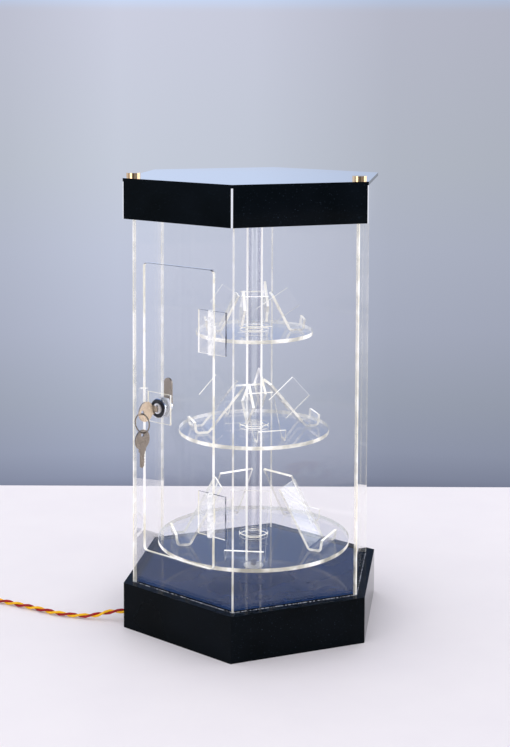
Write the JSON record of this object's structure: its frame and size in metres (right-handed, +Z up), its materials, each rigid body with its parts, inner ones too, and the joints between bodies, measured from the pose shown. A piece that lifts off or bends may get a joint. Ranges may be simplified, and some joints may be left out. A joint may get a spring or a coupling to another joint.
{
  "type": "display cabinet",
  "caption": "Hexagonal clear acrylic display cabinet with a black base and cap, a turning column of round shelves with easel stands, a hinged door and a cam lock.",
  "frame": {"origin": "middle of the base's flat underside", "axes": "+Z up along the shelves' column, -Y out through the door, +X to the door's hinges"},
  "size_m": [0.5037, 0.4274, 0.541],
  "materials": {
    "black_acrylic": "polished",
    "clear_acrylic": "polished clear",
    "polished_steel": "mirror polished",
    "plated_steel": "satin plated",
    "key_brass": "worn",
    "white_nylon": "moulded",
    "black_rubber": "moulded",
    "twisted_pvc": "satin"
  },
  "bodies": {
    "cabinet": {"back_panel": "clear_acrylic", "base_bottom": "black_acrylic", "base_sides": "black_acrylic", "cap_floor": "black_acrylic", "cap_sides": "black_acrylic", "cord_coil": "twisted_pvc", "cord_grommet": "black_rubber", "cord_plug": "white_nylon", "deck": "black_acrylic", "door_frame_panel": "clear_acrylic", "hinge_pins": "clear_acrylic", "left_back_panel": "clear_acrylic", "left_front_panel": "clear_acrylic", "lid": "black_acrylic", "lid_posts": "black_acrylic", "lid_screws": "polished_steel", "lock_strike": "clear_acrylic", "lower_hinge_frame_leaf": "clear_acrylic", "motor": "plated_steel", "motor_screws": "plated_steel", "right_back_panel": "clear_acrylic", "right_front_panel": "clear_acrylic", "shaft_bush": "white_nylon", "supply_cord": "twisted_pvc", "top_stud": "white_nylon", "upper_hinge_frame_leaf": "clear_acrylic"},
    "carousel": {"column": "clear_acrylic", "column_hub": "clear_acrylic", "lower_collar": "clear_acrylic", "lower_shelf": "clear_acrylic", "middle_collar": "clear_acrylic", "middle_shelf": "clear_acrylic", "motor_shaft": "plated_steel", "stand_lower_1": "clear_acrylic", "stand_lower_2": "clear_acrylic", "stand_lower_3": "clear_acrylic", "stand_lower_4": "clear_acrylic", "stand_lower_5": "clear_acrylic", "stand_middle_1": "clear_acrylic", "stand_middle_2": "clear_acrylic", "stand_middle_3": "clear_acrylic", "stand_middle_4": "clear_acrylic", "stand_upper_1": "clear_acrylic", "stand_upper_2": "clear_acrylic", "stand_upper_3": "clear_acrylic", "stand_upper_4": "clear_acrylic", "upper_collar": "clear_acrylic", "upper_shelf": "clear_acrylic"},
    "door_leaf": {"door": "clear_acrylic", "upper_hinge_door_leaf": "clear_acrylic", "lower_hinge_door_leaf": "clear_acrylic", "lock_plate": "clear_acrylic", "lock_barrel": "polished_steel", "lock_nut": "polished_steel"},
    "lock_core": {"lock_plug": "polished_steel", "lock_cam": "plated_steel", "cam_screw": "plated_steel", "key": "key_brass"},
    "keys": {"key_ring": "polished_steel", "spare_key": "plated_steel"}
  },
  "joints": [
    {"name": "carousel_turn", "type": "hinge", "parent": "cabinet", "child": "carousel", "pos_m": [0, 0, 0.054], "axis": [0, 0, 1], "continuous": true},
    {"name": "door_swing", "type": "hinge", "parent": "cabinet", "child": "door_leaf", "pos_m": [0.04743, -0.13679, 0.2665], "axis": [0, 0, 1], "range_deg": [0, 110]},
    {"name": "lock_turn", "type": "hinge", "parent": "door_leaf", "child": "lock_core", "pos_m": [-0.03283, -0.13, 0.27], "axis": [0, -1, 0], "range_deg": [0, 90]},
    {"name": "key_swing", "type": "hinge", "parent": "lock_core", "child": "keys", "pos_m": [-0.03283, -0.16299, 0.27], "axis": [1, 0, 0], "range_deg": [-40, 20]}
  ]
}
